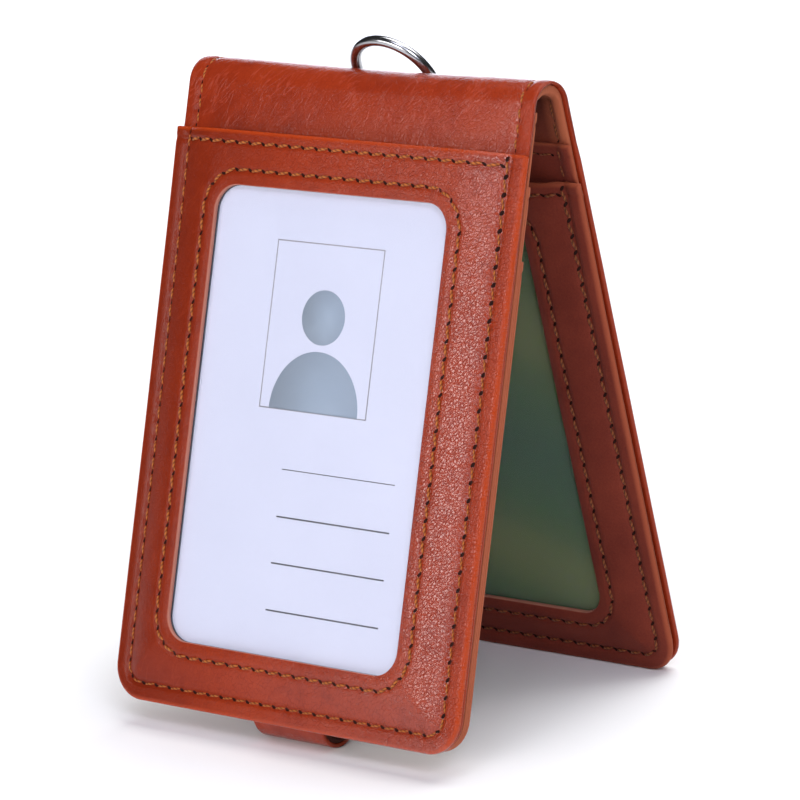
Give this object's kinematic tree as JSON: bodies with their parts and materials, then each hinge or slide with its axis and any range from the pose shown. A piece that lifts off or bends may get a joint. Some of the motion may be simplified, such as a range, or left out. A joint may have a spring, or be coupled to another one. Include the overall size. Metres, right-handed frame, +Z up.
{
  "type": "id badge wallet",
  "caption": "Bifold leather badge wallet with a clear card window outside, card slots and a second window inside, a lanyard ring on the fold and a strap closure.",
  "frame": {"origin": "on the floor, under the middle of the standing wallet's outline", "axes": "+X across the wallet to the right as seen from the window side, +Y from the window side to the back, +Z up"},
  "size_m": [0.075, 0.065, 0.1146],
  "materials": {
    "cover_leather": "smooth glossy coated leather, reddish brown",
    "lining_leather": "matt napped lining, brown",
    "board": "grey board",
    "film": "clear film",
    "thread": "golden tan sewing thread",
    "inner_thread": "tan sewing thread",
    "ring_metal": "polished nickel plate",
    "closure_metal": "plain steel, hidden in the leather",
    "white_card": null,
    "green_card": "plain green card"
  },
  "bodies": {
    "front_panel": {"front_cover": "cover_leather", "front_board": "board", "front_lining": "lining_leather", "front_slot_upper": "lining_leather", "front_slot_middle": "lining_leather", "front_slot_lower": "lining_leather", "front_window_frame": "cover_leather", "front_window_film": "film", "front_edge_seam": "thread", "front_window_seam": "thread", "front_hem_seam": "thread", "front_slot_seams": "inner_thread", "strap_root": "cover_leather"},
    "fold_spine": {"spine_cover": "cover_leather", "spine_lining": "lining_leather", "spine_seam": "thread"},
    "back_panel": {"back_cover": "cover_leather", "back_board": "board", "back_lining": "lining_leather", "back_slot_sheet": "lining_leather", "back_window_frame": "lining_leather", "back_window_film": "film", "keeper_plate": "closure_metal", "back_edge_seam": "thread", "back_window_seam": "inner_thread", "back_slot_seams": "inner_thread", "ring_tab": "cover_leather", "ring_tab_seam": "thread"},
    "ring_loop": {"ring_loop": "cover_leather"},
    "ring": {"ring": "ring_metal"},
    "id_card": {"id_card": "white_card"},
    "back_card": {"back_card": "green_card"},
    "strap": {"strap_outer": "cover_leather", "strap_lining": "lining_leather", "strap_magnet": "closure_metal", "strap_seam": "thread"}
  },
  "joints": [
    {"name": "fold_front", "type": "hinge", "parent": "front_panel", "child": "fold_spine", "pos_m": [0, 0.00333, 0.10848], "axis": [1, 0, 0], "range_deg": [-12.3, 75]},
    {"name": "fold_back", "type": "hinge", "parent": "fold_spine", "child": "back_panel", "pos_m": [0, 0.01067, 0.10802], "axis": [1, 0, 0], "range_deg": [-12.3, 75]},
    {"name": "ring_loop_tilt", "type": "hinge", "parent": "back_panel", "child": "ring_loop", "pos_m": [0, 0.01358, 0.10562], "axis": [-1, 0, 0], "range_deg": [-4.5, 26.5]},
    {"name": "ring_swing", "type": "hinge", "parent": "ring_loop", "child": "ring", "pos_m": [0, 0.01358, 0.10562], "axis": [-1, 0, 0], "range_deg": [0, 165]},
    {"name": "id_card_slide", "type": "slide", "parent": "front_panel", "child": "id_card", "axis": [0, -0.3123, -0.95], "range_m": [-0.09, 0]},
    {"name": "back_card_slide", "type": "slide", "parent": "back_panel", "child": "back_card", "axis": [0, -0.1931, 0.9812], "range_m": [0, 0.012]},
    {"name": "strap_fold", "type": "hinge", "parent": "front_panel", "child": "strap", "pos_m": [0, -0.02679, 0.00024], "axis": [-1, 0, 0], "range_deg": [0, 180]}
  ],
  "couplings": [
    {"joint": "fold_back", "follows": "fold_front", "ratio": 1},
    {"joint": "ring_loop_tilt", "follows": "fold_front", "ratio": 0.35}
  ]
}
